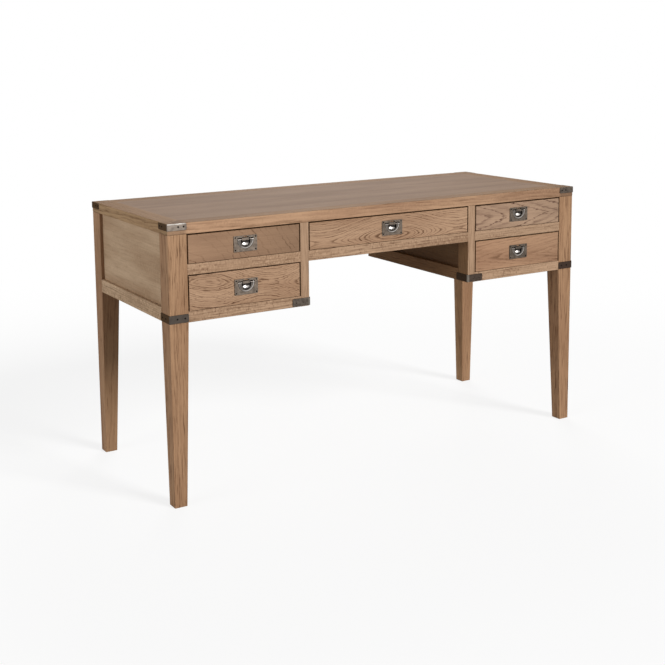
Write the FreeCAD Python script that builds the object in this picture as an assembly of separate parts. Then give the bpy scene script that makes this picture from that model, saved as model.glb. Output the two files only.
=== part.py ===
"""A campaign-style oak writing desk: four tapered legs, two drawers in each pedestal, one drawer
over the kneehole, flush drop pulls and metal corner straps.

Millimetres. X runs along the width, the drawers face -Y, +Z is up, and the origin lies on the
floor under the middle of the desk.
"""
import FreeCAD, Part
import os
from FreeCAD import Vector

# Overall size
WIDTH = 1400.0
DEPTH = 550.0
HEIGHT = 765.0

# Legs: square posts inside the case, tapered on their two inner faces below it
LEG = 54.0
FOOT = 36.0

# Desk top: a mitred frame round a field panel that lies in its rebate
TOP_THICK = 30.0
TOP_RAIL_WIDTH = 64.0
TOP_REBATE = 10.0
FIELD_THICK = 18.0
TOP_ROUND = 2.0

# Front of the case, from the top down and from the outside in
UPPER_OPENING = 80.0
MID_RAIL = 29.0
LOWER_OPENING = 97.0
BOTTOM_RAIL = 29.0
PEDESTAL_OPENING = 340.0
STILE = 27.0
STILE_DEPTH = 48.0

# Side, back and kneehole framing
SIDE_RAIL = 38.0
SIDE_RAIL_THICK = 22.0
PANEL = 10.0
PANEL_RECESS = 10.0
PANEL_TONGUE = 6.0
PANEL_PLAY = 0.2
TENON = 6.0
TENON_SHOULDER = 8.0
EDGE_EASE = 1.5

# Drawer boxes
DRAWER_BACK_SPACE = 50.0
DRAWER_TOP_GAP = 3.0
DRAWER_SIDE_GAP = 3.0
DRAWER_BOTTOM_GAP = 1.0
DRAWER_FRONT = 20.0
DRAWER_SIDE = 12.0
SIDE_INSET = 1.0
SIDE_DROP = 8.0
BACK_DROP = 4.0
DRAWER_BOTTOM = 6.0
BOTTOM_LIFT = 8.0
BOTTOM_GROOVE = 5.0
GROOVE_PLAY = 0.2

# Wooden runners that carry and guide the drawers, with a stop behind each drawer side
RUN_CLEAR = 0.3
RUNNER_BEARING = 16.0
GUIDE_HEIGHT = 16.0
GUIDE_PLAY = 0.5
STOP_GAP = 0.5
STOP_LENGTH = 14.0
STOP_HEIGHT = 12.0

# Flush drawer pull: a plate with a half-moon recess, a finger bowl and a drop bail
PLATE_WIDTH = 70.0
PLATE_HEIGHT = 43.0
PLATE_THICK = 2.0
PLATE_CORNER = 2.0
PLATE_MARGIN = 6.0
RECESS_RADIUS = 25.0
RECESS_STRAIGHT = 5.0
RECESS_DEPTH = 6.0
BOWL_RADIUS = 13.5
BOWL_DEPTH = 7.0
CUP_WALL = 1.5
MORTISE_PLAY = 0.4
BAIL_THICK = 4.0
BAIL_INSET = 0.2
BAIL_GAP = 1.0
BAIL_HOLE_RADIUS = 14.0
BAIL_RIM = 4.0
KNUCKLE_WIDTH = 21.0
KNUCKLE_BELOW = 2.0
PIN_RADIUS = 1.2
PIN_PLAY = 0.05
PIN_DEPTH = 6.0

# Corner straps
BRACKET_ARM = 54.0
BRACKET_THICK = 2.0
BRACKET_ROUND = 2.5
BRACKET_END_ROUND = 4.0
TOP_BRACKET_HEIGHT = 18.0
LOWER_BRACKET_HEIGHT = 22.0
LOWER_BRACKET_LIFT = 2.0
TOP_SCREW_NEAR = 30.0
TOP_SCREW_END = 8.5
LOWER_SCREW_NEAR = 21.0
LOWER_SCREW_END = 11.0

# Slotted round-head screws in the straps and in the pulls
BRACKET_HEAD_RADIUS = 2.6
BRACKET_HEAD_HEIGHT = 1.0
BRACKET_SHANK_RADIUS = 1.5
BRACKET_SHANK_LENGTH = 14.0
PULL_HEAD_RADIUS = 2.2
PULL_HEAD_HEIGHT = 0.8
PULL_SHANK_RADIUS = 1.2
PULL_SHANK_LENGTH = 13.0
PULL_SCREW_MARGIN = 4.5
SCREW_SLOT = 0.7
SCREW_SLOT_DEPTH = 0.5
SCREW_PLAY = 0.1
BRACKET_SCREW = (BRACKET_HEAD_RADIUS, BRACKET_HEAD_HEIGHT, BRACKET_SHANK_RADIUS, BRACKET_SHANK_LENGTH)
PULL_SCREW = (PULL_HEAD_RADIUS, PULL_HEAD_HEIGHT, PULL_SHANK_RADIUS, PULL_SHANK_LENGTH)

# A length, or the sine of the angle between two directions, counts as zero below this
SAME = 0.001
QUARTER_TURN = 90.0

# Distances from the middle plane to each vertical line of the case
X_OUT = WIDTH / 2
X_LEG = X_OUT - LEG
X_STILE = X_LEG - PEDESTAL_OPENING
X_KNEE = X_STILE - STILE
X_SIDE_PANEL = X_OUT - PANEL_RECESS
X_INNER_PANEL = X_KNEE + PANEL_RECESS

# Distances from the middle to the front and back lines; the front itself is at FRONT
Y_OUT = DEPTH / 2
Y_LEG = Y_OUT - LEG
Y_STILE = Y_OUT - STILE_DEPTH
Y_BACK_PANEL = Y_OUT - PANEL_RECESS
FRONT = -Y_OUT
DRAWER_DEPTH = Y_BACK_PANEL - PANEL - DRAWER_BACK_SPACE - FRONT

# Heights above the floor
Z_CASE = HEIGHT - TOP_THICK
Z_MID_HIGH = Z_CASE - UPPER_OPENING
Z_MID_LOW = Z_MID_HIGH - MID_RAIL
Z_LOW_HIGH = Z_MID_LOW - LOWER_OPENING
Z_LOW = Z_LOW_HIGH - BOTTOM_RAIL
Z_SIDE_RAIL = Z_LOW + SIDE_RAIL

SIDES = {"left": -1, "right": 1}
ENDS = {"front": -1, "back": 1}

solids_of = {}
sockets_of = {}


def add(node, *solids):
    """Puts solids into a node."""
    solids_of.setdefault(node, []).extend(solids)


def socket(cutter, *nodes):
    """Marks a hole, groove or mortise to be cut from each of the named nodes."""
    for node in nodes:
        sockets_of.setdefault(node, []).append(cutter)


def block(x_span, y_span, z_span):
    """A square-edged block that fills three spans, whose ends may come in either order."""
    low = [min(span) for span in (x_span, y_span, z_span)]
    size = [abs(span[1] - span[0]) for span in (x_span, y_span, z_span)]
    return Part.makeBox(*size, Vector(*low))


def scaled(span, factor):
    """A span of distances from the middle, put on one side of it."""
    return [factor * value for value in span]


def inset(span, amount):
    """A span made shorter at both ends, or longer where the amount is negative."""
    low, high = sorted(span)
    return [low + amount, high - amount]


def eased(board, axis):
    """A board with its long edges, those along one axis, rounded over a little."""
    direction = Vector(*[1.0 if index == axis else 0.0 for index in range(3)])
    edges = [edge for edge in board.Edges
             if edge.tangentAt(edge.FirstParameter).cross(direction).Length < SAME]
    return board.makeFillet(EDGE_EASE, edges)


def tenoned_rail(spans, axis, nodes):
    """A rail between two posts, with a stub tenon at each end that is let into the named nodes."""
    rail = eased(block(*spans), axis)
    tongue_spans = [inset(span, TENON_SHOULDER) for span in spans]
    tongue_spans[axis] = inset(spans[axis], -TENON)
    tongue = block(*tongue_spans)
    socket(tongue, *nodes)
    return rail.fuse(tongue).removeSplitter()


def housed_panel(spans, axis, nodes):
    """A panel whose two ends along one axis and lower edge stand in grooves of the named nodes."""
    tongued = [list(span) for span in spans]
    tongued[axis] = inset(spans[axis], -PANEL_TONGUE)
    tongued[2] = [min(spans[2]) - PANEL_TONGUE, max(spans[2])]
    groove = [inset(span, -PANEL_PLAY) for span in tongued[:2]] + [tongued[2]]
    socket(block(*groove), *nodes)
    return block(*tongued)


def rounded_square(x_span, y_span, z):
    """The outline of a leg at one height, with its corners rounded over."""
    x_low, x_high = sorted(x_span)
    y_low, y_high = sorted(y_span)
    radius = EDGE_EASE
    corners = ((x_high, y_high), (x_low, y_high), (x_low, y_low), (x_high, y_low))
    arcs = []
    for turn, (x, y) in enumerate(corners):
        centre_x = min(max(x, x_low + radius), x_high - radius)
        centre_y = min(max(y, y_low + radius), y_high - radius)
        centre = Vector(centre_x, centre_y, z)
        start = turn * QUARTER_TURN
        arcs.append(Part.makeCircle(radius, centre, Vector(0, 0, 1), start, start + QUARTER_TURN))
    edges = []
    for arc, following in zip(arcs, arcs[1:] + arcs[:1]):
        edges.append(arc)
        line_start = arc.valueAt(arc.LastParameter)
        line_end = following.valueAt(following.FirstParameter)
        edges.append(Part.makeLine(line_start, line_end))
    return Part.Wire(edges)


def leg(side, end):
    """A leg that fills its corner: straight in the case and drawn in on its inner faces below."""
    outlines = []
    for height, size in ((0.0, FOOT), (Z_LOW, LEG), (Z_CASE, LEG)):
        x_span = scaled((X_OUT - size, X_OUT), side)
        y_span = scaled((Y_OUT - size, Y_OUT), end)
        outlines.append(rounded_square(x_span, y_span, height))
    return Part.makeLoft(outlines, True, True)


def top_rail(outer, inner):
    """One mitred rail of the top: outer and inner are the ends of its two long edges."""
    points = [Vector(x, y, Z_CASE) for x, y in (*outer, *reversed(inner))]
    face = Part.Face(Part.makePolygon(points + points[:1]))
    rail = face.extrude(Vector(0, 0, TOP_THICK))
    along = (points[1] - points[0]).normalize()
    outer_edges = []
    for edge in rail.Edges:
        start, finish = [vertex.Point for vertex in edge.Vertexes]
        level = abs(finish.z - start.z) < SAME
        flat_start = Vector(start.x, start.y, Z_CASE)
        on_outer = flat_start.distanceToLine(points[0], along) < SAME
        if level and on_outer and (finish - start).normalize().cross(along).Length < SAME:
            outer_edges.append(edge)
    return rail.makeFillet(TOP_ROUND, outer_edges)


def desk_top():
    """The four mitred rails and the field panel in their rebate."""
    x_in = X_OUT - TOP_RAIL_WIDTH
    y_in = Y_OUT - TOP_RAIL_WIDTH
    x_field = x_in + TOP_REBATE
    y_field = y_in + TOP_REBATE
    field = block((-x_field, x_field), (-y_field, y_field), (HEIGHT - FIELD_THICK, HEIGHT))
    add("top_panel", field)
    for name, end in ENDS.items():
        outer = ((-X_OUT, end * Y_OUT), (X_OUT, end * Y_OUT))
        inner = ((-x_in, end * y_in), (x_in, end * y_in))
        add(f"top_{name}_rail", top_rail(outer, inner).cut(field))
    for name, side in SIDES.items():
        outer = ((side * X_OUT, -Y_OUT), (side * X_OUT, Y_OUT))
        inner = ((side * x_in, -y_in), (side * x_in, y_in))
        add(f"top_{name}_rail", top_rail(outer, inner).cut(field))


def outer_sides():
    """The legs, and the panel and rail between each front leg and the back leg behind it."""
    for side_name, side in SIDES.items():
        legs = [f"leg_{end_name}_{side_name}" for end_name in ENDS]
        for node, end in zip(legs, ENDS.values()):
            add(node, leg(side, end))
        between = (-Y_LEG, Y_LEG)
        rail_x = scaled((X_OUT - SIDE_RAIL_THICK, X_OUT), side)
        add("side_rails", tenoned_rail((rail_x, between, (Z_LOW, Z_SIDE_RAIL)), 1, legs))
        panel_x = scaled((X_SIDE_PANEL - PANEL, X_SIDE_PANEL), side)
        panel = housed_panel((panel_x, between, (Z_SIDE_RAIL, Z_CASE)), 1, legs + ["side_rails"])
        add(f"{side_name}_side_panel", panel)


def kneehole_sides():
    """The stiles, panels and rails that close the pedestals towards the kneehole."""
    between = (-Y_STILE, Y_STILE)
    stiles = ["front_stiles", "back_stiles"]
    for side in SIDES.values():
        stile_x = scaled((X_KNEE, X_STILE), side)
        for node, end in zip(stiles, ENDS.values()):
            spans = (stile_x, scaled((Y_STILE, Y_OUT), end), (Z_LOW, Z_CASE))
            add(node, eased(block(*spans), 2))
        rail_x = scaled((X_KNEE, X_KNEE + SIDE_RAIL_THICK), side)
        add("inner_side_rails", tenoned_rail((rail_x, between, (Z_LOW, Z_SIDE_RAIL)), 1, stiles))
        panel_x = scaled((X_INNER_PANEL, X_INNER_PANEL + PANEL), side)
        spans = (panel_x, between, (Z_SIDE_RAIL, Z_CASE))
        add("inner_side_panels", housed_panel(spans, 1, stiles + ["inner_side_rails"]))


def front_rails():
    """The rails below the upper and lower drawers, flush with the legs and stiles."""
    rail_y = (-Y_OUT, -Y_STILE)
    for side_name, side in SIDES.items():
        posts = [f"leg_front_{side_name}", "front_stiles"]
        rail_x = scaled((X_STILE, X_LEG), side)
        add("front_mid_rails", tenoned_rail((rail_x, rail_y, (Z_MID_LOW, Z_MID_HIGH)), 0, posts))
        add("front_bottom_rails", tenoned_rail((rail_x, rail_y, (Z_LOW, Z_LOW_HIGH)), 0, posts))
    centre = ((-X_KNEE, X_KNEE), rail_y, (Z_MID_LOW, Z_MID_HIGH))
    add("front_mid_rails", tenoned_rail(centre, 0, ["front_stiles"]))


def back():
    """The framed back: a panel over a rail behind each pedestal and behind the middle drawer."""
    rail_y = (Y_OUT - SIDE_RAIL_THICK, Y_OUT)
    panel_y = (Y_BACK_PANEL - PANEL, Y_BACK_PANEL)
    bays = [(scaled((X_STILE, X_LEG), side), (Z_LOW, Z_SIDE_RAIL), [f"leg_back_{name}", "back_stiles"])
            for name, side in SIDES.items()]
    bays.append(((-X_KNEE, X_KNEE), (Z_MID_LOW, Z_MID_HIGH), ["back_stiles"]))
    for bay_x, rail_z, posts in bays:
        add("back_rails", tenoned_rail((bay_x, rail_y, rail_z), 0, posts))
        panel = housed_panel((bay_x, panel_y, (rail_z[1], Z_CASE)), 0, posts + ["back_rails"])
        add("back_panels", panel)


def runner(edge, inward, wall, y_end, z_floor, rail):
    """A runner beside one edge of a drawer opening, from the wall that holds it to under the drawer."""
    y_span = (-y_end, y_end)
    side_face = edge + inward * (DRAWER_SIDE_GAP + SIDE_INSET)
    bearing_end = edge + inward * RUNNER_BEARING
    bearing = block((wall, bearing_end), y_span, (z_floor - rail, z_floor))
    guide_face = side_face - inward * GUIDE_PLAY
    guide = block((wall, guide_face), y_span, (z_floor, z_floor + GUIDE_HEIGHT))
    add("drawer_runners", bearing.fuse(guide).removeSplitter())
    stop_start = FRONT + DRAWER_DEPTH + STOP_GAP
    stop_y = (stop_start, stop_start + STOP_LENGTH)
    add("drawer_stops", block((side_face, bearing_end), stop_y, (z_floor, z_floor + STOP_HEIGHT)))


def runners():
    """A pair of runners for every drawer, held by the panels and rails beside it."""
    levels = ((Z_MID_HIGH, MID_RAIL, X_SIDE_PANEL - PANEL, X_INNER_PANEL + PANEL),
              (Z_LOW_HIGH, BOTTOM_RAIL, X_OUT - SIDE_RAIL_THICK, X_KNEE + SIDE_RAIL_THICK))
    for side in SIDES.values():
        for z_floor, rail, outer_wall, inner_wall in levels:
            runner(side * X_LEG, -side, side * outer_wall, Y_LEG, z_floor, rail)
            runner(side * X_STILE, side, side * inner_wall, Y_STILE, z_floor, rail)
        runner(side * X_KNEE, -side, side * X_INNER_PANEL, Y_STILE, Z_MID_HIGH, MID_RAIL)


def screw(spot, outward, size):
    """A slotted round-head screw whose head sits on a face at spot, and the hole that it needs."""
    head_radius, head_height, shank_radius, shank_length = size
    turn = FreeCAD.Placement(spot, FreeCAD.Rotation(Vector(0, 0, 1), outward))
    dome_radius = (head_radius ** 2 + head_height ** 2) / (2 * head_height)
    dome = Part.makeSphere(dome_radius, Vector(0, 0, head_height - dome_radius))
    head = dome.common(Part.makeCylinder(head_radius, head_height))
    slot = block((-head_radius, head_radius), (-SCREW_SLOT / 2, SCREW_SLOT / 2),
                 (head_height - SCREW_SLOT_DEPTH, head_height))
    down = Vector(0, 0, -1)
    shank = Part.makeCylinder(shank_radius, shank_length, Vector(0, 0, 0), down)
    body = head.cut(slot).fuse(shank).removeSplitter()
    hole = Part.makeCylinder(shank_radius + SCREW_PLAY, shank_length + SCREW_PLAY, Vector(0, 0, 0), down)
    body.Placement = turn
    hole.Placement = turn
    return body, hole


def bracket(corner_x, corner_y, out_x, out_y, z_low, height, screw_reaches, node, wood):
    """An L-shaped strap round an upright corner, its screws, and their holes in the wood behind it.

    The screws of each arm lie at the given distances from the corner.
    """
    z_span = (z_low, z_low + height)
    far_x = corner_x + out_x * BRACKET_THICK
    far_y = corner_y + out_y * BRACKET_THICK
    end_x = corner_x - out_x * BRACKET_ARM
    end_y = corner_y - out_y * BRACKET_ARM
    along_x = block((far_x, end_x), (corner_y, far_y), z_span)
    along_y = block((corner_x, far_x), (far_y, end_y), z_span)
    strap = along_x.fuse(along_y).removeSplitter()
    outer_edges = []
    end_edges = []
    for edge in strap.Edges:
        start, finish = [vertex.Point for vertex in edge.Vertexes]
        level = abs(start.z - finish.z) < SAME
        at_corner = start.distanceToPoint(Vector(far_x, far_y, start.z)) < SAME
        if at_corner and not level:
            outer_edges.append(edge)
        at_x_end = abs(start.x - end_x) + abs(finish.x - end_x) < SAME
        at_y_end = abs(start.y - end_y) + abs(finish.y - end_y) < SAME
        if level and (at_x_end or at_y_end):
            end_edges.append(edge)
    strap = strap.makeFillet(BRACKET_ROUND, outer_edges)
    strap = strap.makeFillet(BRACKET_END_ROUND, matching_edges(strap, end_edges))
    z_screw = z_low + height / 2
    for reach in screw_reaches:
        spots = ((Vector(corner_x - out_x * reach, far_y, z_screw), Vector(0, out_y, 0)),
                 (Vector(far_x, corner_y - out_y * reach, z_screw), Vector(out_x, 0, 0)))
        for spot, outward in spots:
            body, hole = screw(spot, outward, BRACKET_SCREW)
            add("bracket_screws", body)
            strap = strap.cut(hole)
            socket(hole, *wood)
    add(node, strap)


def matching_edges(shape, edges):
    """The edges of a changed shape that still lie where the given edges were."""
    middles = [edge.CenterOfMass for edge in edges]
    return [edge for edge in shape.Edges
            if any(edge.CenterOfMass.distanceToPoint(middle) < SAME for middle in middles)]


def corner_brackets():
    """Straps on the four corners of the top, on the front legs and on the kneehole corners."""
    top_reaches = (TOP_SCREW_NEAR, BRACKET_ARM - TOP_SCREW_END)
    lower_reaches = (LOWER_SCREW_NEAR, BRACKET_ARM - LOWER_SCREW_END)
    for side_name, side in SIDES.items():
        for end_name, end in ENDS.items():
            wood = [f"top_{end_name}_rail", f"top_{side_name}_rail"]
            bracket(side * X_OUT, end * Y_OUT, side, end, HEIGHT - TOP_BRACKET_HEIGHT, TOP_BRACKET_HEIGHT,
                    top_reaches, "top_corner_brackets", wood)
        z_low = Z_LOW + LOWER_BRACKET_LIFT
        bracket(side * X_OUT, FRONT, side, -1, z_low, LOWER_BRACKET_HEIGHT, lower_reaches,
                "lower_corner_brackets", [f"leg_front_{side_name}", "front_bottom_rails", "side_rails"])
        bracket(side * X_KNEE, FRONT, -side, -1, z_low, LOWER_BRACKET_HEIGHT, lower_reaches,
                "lower_corner_brackets", ["front_stiles", "front_bottom_rails", "inner_side_rails"])


def half_moon(x, z_top, straight, radius, y_start, depth):
    """A solid with a flat top, short straight sides and a half-round bottom, going back from y_start."""
    z_arc = z_top - straight
    left = Vector(x - radius, y_start, z_arc)
    bottom = Vector(x, y_start, z_arc - radius)
    right = Vector(x + radius, y_start, z_arc)
    rise = Vector(0, 0, straight)
    rest = [right, right + rise, left + rise, left] if straight > 0 else [right, left]
    outline = Part.Wire([Part.Arc(left, bottom, right).toShape(), *Part.makePolygon(rest).Edges])
    return Part.Face(outline).extrude(Vector(0, depth, 0))


def pull(drawer, x, z):
    """The flush pull in the middle of a drawer front."""
    y_face = FRONT - PLATE_THICK
    y_floor = y_face + RECESS_DEPTH
    y_boss = y_floor + BOWL_DEPTH + CUP_WALL
    z_recess = z + PLATE_HEIGHT / 2 - PLATE_MARGIN
    z_pivot = z_recess - RECESS_STRAIGHT
    bail_radius = RECESS_RADIUS - BAIL_GAP
    z_hole = z_pivot - bail_radius + BAIL_RIM + BAIL_HOLE_RADIUS
    y_pivot = y_face + BAIL_INSET + BAIL_THICK / 2
    x_axis = Vector(1, 0, 0)

    plate_x = (x - PLATE_WIDTH / 2, x + PLATE_WIDTH / 2)
    plate_z = (z - PLATE_HEIGHT / 2, z + PLATE_HEIGHT / 2)
    plate = block(plate_x, (y_face, FRONT), plate_z)
    corner_edges = [edge for edge in plate.Edges if edge.tangentAt(0).cross(Vector(0, 1, 0)).Length < SAME]
    plate = plate.makeFillet(PLATE_CORNER, corner_edges)
    boss = half_moon(x, z_recess + CUP_WALL, RECESS_STRAIGHT + CUP_WALL, RECESS_RADIUS + CUP_WALL, FRONT,
                     y_boss - FRONT)
    mortise = half_moon(x, z_recess + CUP_WALL + MORTISE_PLAY, RECESS_STRAIGHT + CUP_WALL + MORTISE_PLAY,
                        RECESS_RADIUS + CUP_WALL + MORTISE_PLAY, FRONT, y_boss - FRONT + MORTISE_PLAY)
    socket(mortise, f"{drawer}_drawer_front")
    recess = half_moon(x, z_recess, RECESS_STRAIGHT, RECESS_RADIUS, y_face, RECESS_DEPTH)
    sphere_radius = (BOWL_RADIUS ** 2 + BOWL_DEPTH ** 2) / (2 * BOWL_DEPTH)
    bowl = Part.makeSphere(sphere_radius, Vector(x, y_floor + BOWL_DEPTH - sphere_radius, z_hole))
    bowl = bowl.common(block(plate_x, (y_face, y_boss), plate_z))
    knuckle = block((x - KNUCKLE_WIDTH / 2, x + KNUCKLE_WIDTH / 2), (y_face, y_floor + BOWL_DEPTH),
                    (z_pivot - KNUCKLE_BELOW, z_recess))
    bore = Part.makeCylinder(PIN_RADIUS + PIN_PLAY, KNUCKLE_WIDTH,
                             Vector(x - KNUCKLE_WIDTH / 2, y_pivot, z_pivot), x_axis)
    plate = plate.fuse(boss).cut([recess, bowl]).fuse(knuckle).removeSplitter().cut(bore)

    bail = half_moon(x, z_pivot, 0.0, bail_radius, y_pivot - BAIL_THICK / 2, BAIL_THICK)
    opening = half_moon(x, z_pivot, z_pivot - z_hole, BAIL_HOLE_RADIUS, y_pivot - BAIL_THICK / 2, BAIL_THICK)
    bail = bail.cut(opening)
    arm = bail_radius - BAIL_HOLE_RADIUS
    pin_length = BAIL_HOLE_RADIUS - KNUCKLE_WIDTH / 2 + PIN_DEPTH
    for hand in (-1, 1):
        eye_start = Vector(x + hand * BAIL_HOLE_RADIUS, y_pivot, z_pivot)
        eye = Part.makeCylinder(BAIL_THICK / 2, arm, eye_start, x_axis * hand)
        pin = Part.makeCylinder(PIN_RADIUS, pin_length, eye_start, x_axis * -hand)
        bail = bail.fuse([eye, pin])
    add(f"{drawer}_pull_bail", bail.removeSplitter())

    for corner_x in (plate_x[0] + PULL_SCREW_MARGIN, plate_x[1] - PULL_SCREW_MARGIN):
        for corner_z in (plate_z[0] + PULL_SCREW_MARGIN, plate_z[1] - PULL_SCREW_MARGIN):
            body, hole = screw(Vector(corner_x, y_face, corner_z), Vector(0, -1, 0), PULL_SCREW)
            add(f"{drawer}_pull_screws", body)
            plate = plate.cut(hole)
            socket(hole, f"{drawer}_drawer_front")
    add(f"{drawer}_pull_plate", plate)


def drawer(name, x_span, z_span):
    """An inset drawer in an opening: front, sides, back and a bottom that slides into grooves."""
    front_x = inset(x_span, DRAWER_SIDE_GAP)
    front_z = (z_span[0] + DRAWER_BOTTOM_GAP, z_span[1] - DRAWER_TOP_GAP)
    y_join = FRONT + DRAWER_FRONT
    y_end = FRONT + DRAWER_DEPTH
    front = block(front_x, (FRONT, y_join), front_z)
    face_edges = [edge for edge in front.Edges if abs(edge.BoundBox.YMax - FRONT) < SAME]
    add(f"{name}_drawer_front", front.makeFillet(EDGE_EASE, face_edges))

    outside = inset(front_x, SIDE_INSET)
    inside = inset(outside, DRAWER_SIDE)
    z_side = (z_span[0] + RUN_CLEAR, front_z[1] - SIDE_DROP)
    for outer, inner in zip(outside, inside):
        add(f"{name}_drawer_sides", block((outer, inner), (y_join, y_end), z_side))

    z_bottom = z_side[0] + BOTTOM_LIFT
    bottom_x = inset(inside, GROOVE_PLAY - BOTTOM_GROOVE)
    bottom_y = (y_join - BOTTOM_GROOVE + GROOVE_PLAY, y_end)
    z_top = z_bottom + DRAWER_BOTTOM
    add(f"{name}_drawer_bottom", block(bottom_x, bottom_y, (z_bottom, z_top)))
    groove_x = inset(inside, -BOTTOM_GROOVE)
    groove = block(groove_x, (y_join - BOTTOM_GROOVE, y_end), (z_bottom, z_top + GROOVE_PLAY))
    socket(groove, f"{name}_drawer_front", f"{name}_drawer_sides")

    back_z = (z_top, z_side[1] - BACK_DROP)
    add(f"{name}_drawer_back", block(inside, (y_end - DRAWER_SIDE, y_end), back_z))
    pull(name, sum(x_span) / 2, sum(z_span) / 2)


def drawers():
    """Two drawers in each pedestal and one over the kneehole."""
    for name, side in SIDES.items():
        opening = sorted(scaled((X_STILE, X_LEG), side))
        drawer(f"{name}_upper", opening, (Z_MID_HIGH, Z_CASE))
        drawer(f"{name}_lower", opening, (Z_LOW_HIGH, Z_MID_LOW))
    drawer("centre", (-X_KNEE, X_KNEE), (Z_MID_HIGH, Z_CASE))


def export():
    """Cuts every socket and writes each node to its own file."""
    os.makedirs("parts", exist_ok=True)
    for node, solids in solids_of.items():
        cutters = sockets_of.get(node)
        if cutters:
            solids = [piece for solid in solids for piece in solid.cut(cutters).Solids]
        shape = solids[0] if len(solids) == 1 else Part.makeCompound(solids)
        shape.exportStep(f"parts/{node}.step")


desk_top()
outer_sides()
kneehole_sides()
front_rails()
back()
runners()
corner_brackets()
drawers()
export()
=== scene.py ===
"""The looks of an oak campaign desk: finishes, light and camera around its CAD frame.

Metres. X runs along the width, the drawers face -Y, +Z is up, and the origin lies on the floor
under the middle of the desk. A board's own coordinates are (along the grain, across the show
face, into the board), measured from the board's middle.
"""
import math
from dataclasses import dataclass, replace

import bpy
from mathutils import Matrix, Vector


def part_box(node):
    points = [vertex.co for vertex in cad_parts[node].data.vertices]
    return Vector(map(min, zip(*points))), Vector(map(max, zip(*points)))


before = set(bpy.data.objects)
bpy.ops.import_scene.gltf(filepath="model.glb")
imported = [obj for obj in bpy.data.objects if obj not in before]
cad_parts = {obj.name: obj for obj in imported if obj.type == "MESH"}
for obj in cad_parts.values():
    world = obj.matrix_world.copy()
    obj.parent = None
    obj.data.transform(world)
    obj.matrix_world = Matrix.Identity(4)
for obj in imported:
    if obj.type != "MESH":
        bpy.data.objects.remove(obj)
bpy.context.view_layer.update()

# Camera: lens and image centre in pixels of the photograph, then the eye and its turn in radians
PHOTO_SIDE = 665.0
FOCAL_PIXELS = 1146.6
CENTRE_PIXEL = (332.5, 212.8)
EYE = Vector((-1.8591, -2.9760, 1.2087))
YAW = 0.5505
PITCH = 0.1424
ROLL = 0.0088
SENSOR_WIDTH = 36.0

# Light: each share is the brightness that a lamp adds to a white face turned towards it
WHITE = (1.0, 1.0, 1.0, 1.0)
SKY_SHARE = 0.20
LAMPS = {
    "key": {"place": (8.4, -19.2, 12.1), "size": 7.2, "share": 0.90},
    "left": {"place": (-10.6, -1.6, 2.7), "size": 6.0, "share": 0.36},
    "back": {"place": (2.6, 4.6, 3.6), "size": 3.0, "share": 0.36},
}
LAMP_AIM = Vector((0.0, 0.0, 0.5))

# Floor: the grey that lights the desk from below, the paint that takes the shadow, and how white it
# shows beside the desk, with the distances between which it fades to plain white
FLOOR_SIZE = 40.0
FLOOR_BOUNCE = (0.44, 0.44, 0.44, 1.0)
FLOOR_PAINT = (0.95, 0.95, 0.95, 1.0)
FLOOR_WHITE = 0.80
FLOOR_FADE = (1.2, 3.0)

# Drawers, with how bright the pewter of each pull is: painted shade that dims the pulls towards the
# right end
DRAWERS = {
    "left_upper": 1.1,
    "left_lower": 1.04,
    "centre": 0.88,
    "right_upper": 0.76,
    "right_lower": 0.67,
}


def srgb(red, green, blue):
    """A colour given as 0 to 255 sRGB values, in the linear form that shaders take."""
    linear = []
    for value in (red, green, blue):
        share = value / 255
        linear.append(share / 12.92 if share <= 0.04045 else ((share + 0.055) / 1.055) ** 2.4)
    return (*linear, 1.0)


def dimmed(colour, share):
    """A colour at a share of its brightness."""
    return (*(value * share for value in colour[:3]), 1.0)


@dataclass(frozen=True)
class Speckle:
    """Noise and the mask made from it.

    stretch is the number of features per metre along each axis. Noise from low to high turns into a
    mask from first to last.
    """
    stretch: tuple
    detail: float = 2.0
    roughness: float = 0.5
    low: float = 0.0
    high: float = 1.0
    first: float = 0.0
    last: float = 1.0


@dataclass(frozen=True)
class Metal:
    """A metal: two tones, the rubbed tone, the range of roughness and the width of rubbed edges."""
    dark: tuple
    light: tuple
    worn: tuple
    roughness: tuple
    edge: float


@dataclass(frozen=True)
class Grain:
    """How a board was cut from the log, and how strongly its grain shows.

    along and across are the desk's axes along the grain and across the show face. The pith lies
    pith_across and pith_depth from the board's middle, and taper is how fast it draws away along
    the board. The rings bulge by swell on both sides of the eye, a place along the board, and do so
    again after reach. ring is the width of a ring, wander its sway, ragged how torn its line is,
    line the share of the ring that the line takes up, contrast how dark it is and patchy how much
    of it is missing. fleck and dash are the strengths of the rays and of short dark dashes. tilt
    turns the grain on the show face. A paired node holds a left and a right copy, and one_board
    keeps one seed from left to right. turned holds pairs of a tone and the axis of the faces that
    have it; several of these tones are painted shade or painted light. shade_falloff is painted
    shade, the loss of brightness per metre along upright faces, darker towards the board's right
    end, and darker_ends the loss at ends that straps cover.
    """
    along: str = "x"
    across: str = "z"
    tone: str = "rail"
    pith_across: float = 0.07
    pith_depth: float = 0.05
    taper: float = 0.01
    swell: float = 0.0
    eye: float = 0.0
    reach: float = 1.0
    ring: float = 0.006
    wander: float = 0.012
    ragged: float = 0.12
    line: float = 0.7
    contrast: float = 0.55
    patchy: float = 0.0
    fleck: float = 0.0
    dash: float = 0.3
    tilt: float = 0.0
    paired: bool = False
    one_board: bool = False
    turned: tuple = ()
    shade_falloff: float = 0.0
    darker_ends: float = 0.0
    gloss: float = 0.06
    roughness: float = 0.6
    seed: float = 0.0


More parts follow.
